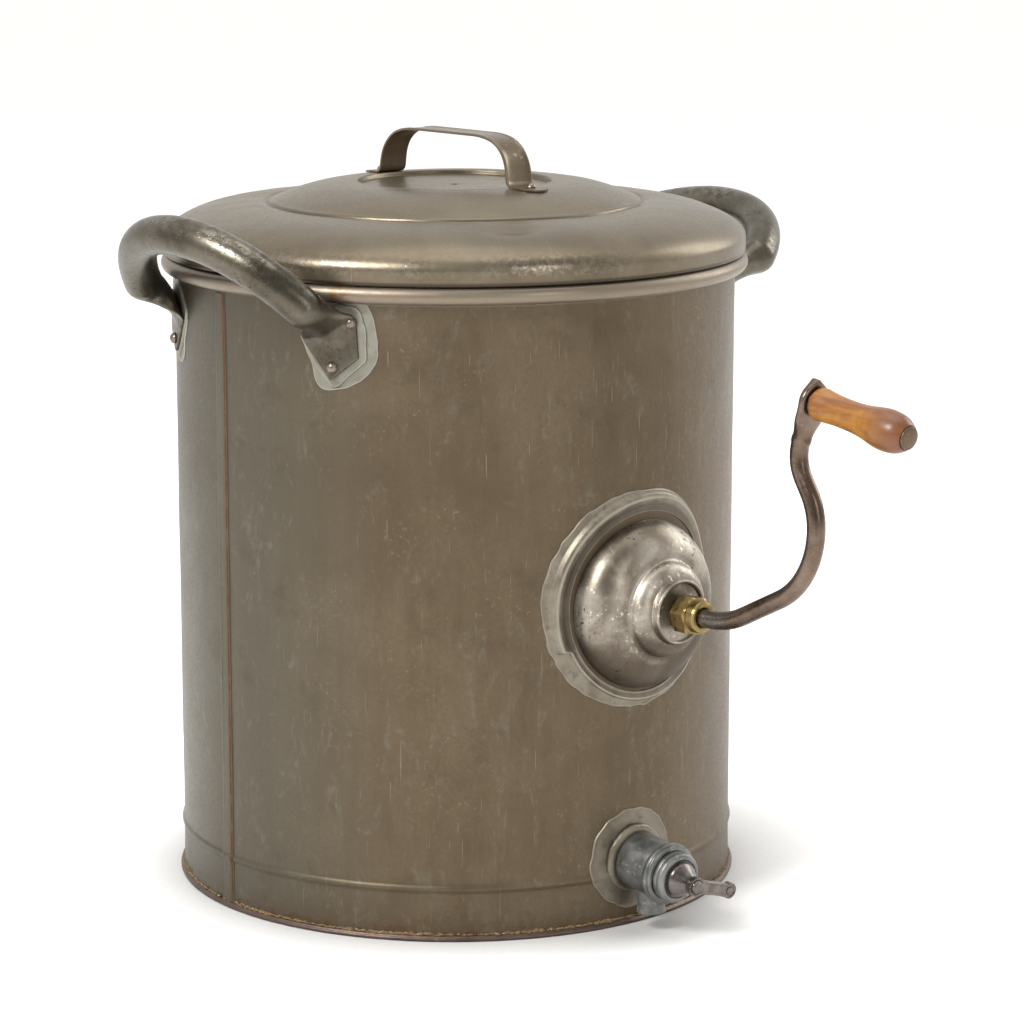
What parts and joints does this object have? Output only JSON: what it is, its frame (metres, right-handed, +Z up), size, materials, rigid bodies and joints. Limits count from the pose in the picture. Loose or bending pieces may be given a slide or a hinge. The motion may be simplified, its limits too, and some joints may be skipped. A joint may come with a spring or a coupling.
{
  "type": "honey extractor",
  "caption": "Round tinplate drum with lift-off domed lid, two tube carrying handles, side hand crank geared to a caged pair of comb baskets, and a drain tap.",
  "frame": {"origin": "centre of the drum's foot, on the floor", "axes": "+Z up along the drum's axis, +X towards the crank and tap, side handles at +Y and -Y"},
  "size_m": [0.6833, 0.566, 0.5627],
  "materials": {
    "tinplate": "aged satin tinplate, brown-grey",
    "lid_tinplate": "aged satin tinplate, worn brighter",
    "foot_iron": "dark oxidised wire and band",
    "dome_tin": "bright worn tin with brown pitting",
    "solder": "flat pale grey solder",
    "brass": "dull yellow-olive brass",
    "packing": "greased hemp",
    "handle_tube": "worn grey-olive tinned tube",
    "rivet": "aged rivet heads",
    "bar_iron": "tinned flat iron",
    "cast_iron": "rough cast iron",
    "steel": "aged plain steel",
    "crank_steel": "satin brown-grey steel rod",
    "wood": "amber varnished turned wood",
    "cage_tin": "tinned strip",
    "wire": "tinned wire cloth",
    "lead": "dark blue-grey lead alloy, scuffed",
    "pewter": "dull polished pewter",
    "leather": "oiled leather"
  },
  "bodies": {
    "drum": {"drum_wall": "tinplate", "side_seam": "tinplate", "drum_floor": "tinplate", "foot_ring": "foot_iron", "rim_wire": "foot_iron", "housing_dome": "dome_tin", "housing_collar": "tinplate", "housing_solder": "solder", "gland_body": "brass", "gland_packing": "packing", "gland_nut": "brass", "handle_left": "handle_tube", "handle_right": "handle_tube", "handle_pads": "solder", "handle_rivets": "rivet", "handle_solder": "solder", "cross_bar": "bar_iron", "cross_bar_lugs": "tinplate", "cross_bar_screws": "steel", "gear_bracket": "cast_iron", "bracket_screws": "steel", "thrust_button": "steel", "top_bar": "bar_iron", "top_bar_lugs": "tinplate", "top_bar_screws": "steel", "top_bush": "brass", "tap_flange": "lead", "tap_body": "lead", "tap_ring_nut": "lead", "tap_washer": "leather", "tap_back_nut": "lead", "tap_solder": "solder"},
    "crank": {"crank_rod": "crank_steel", "crown_wheel": "cast_iron", "wheel_pin": "steel", "shaft_collar": "bar_iron", "grip_spindle": "steel", "grip_washer": "steel"},
    "grip": {"wooden_grip": "wood"},
    "cage": {"cage_spindle": "steel", "pinion": "cast_iron", "pinion_pin": "steel", "upper_spider": "bar_iron", "lower_spider": "bar_iron", "spider_bolts": "steel", "basket_a": "cage_tin", "basket_b": "cage_tin", "outer_screen_a": "wire", "inner_screen_a": "wire", "outer_screen_b": "wire", "inner_screen_b": "wire", "cage_hoops": "cage_tin"},
    "lid": {"lid_shell": "lid_tinplate", "lid_skirt": "lid_tinplate", "lid_edge_wire": "foot_iron", "lid_handle": "lid_tinplate", "lid_rivets": "rivet"},
    "tap_key": {"tap_plug": "pewter", "tap_lever": "pewter", "tap_lever_pin": "steel"}
  },
  "joints": [
    {"name": "crank_spin", "type": "hinge", "parent": "drum", "child": "crank", "pos_m": [0.25, 0, 0.2365], "axis": [1, 0, 0], "continuous": true},
    {"name": "grip_spin", "type": "hinge", "parent": "crank", "child": "grip", "pos_m": [0.373, 0, 0.4049], "axis": [0.9877, 0, -0.1564], "continuous": true},
    {"name": "cage_spin", "type": "hinge", "parent": "drum", "child": "cage", "pos_m": [0, 0, 0.35], "axis": [0, 0, 1], "continuous": true},
    {"name": "lid_lift", "type": "slide", "parent": "drum", "child": "lid", "axis": [0, 0, 1], "range_m": [0, 0.2]},
    {"name": "tap_turn", "type": "hinge", "parent": "drum", "child": "tap_key", "pos_m": [0.20977, -0.00989, 0.049], "axis": [0.9951, -0.0469, -0.0872], "range_deg": [0, 90]}
  ],
  "couplings": [
    {"joint": "crank_spin", "follows": "cage_spin", "ratio": -0.33333}
  ]
}
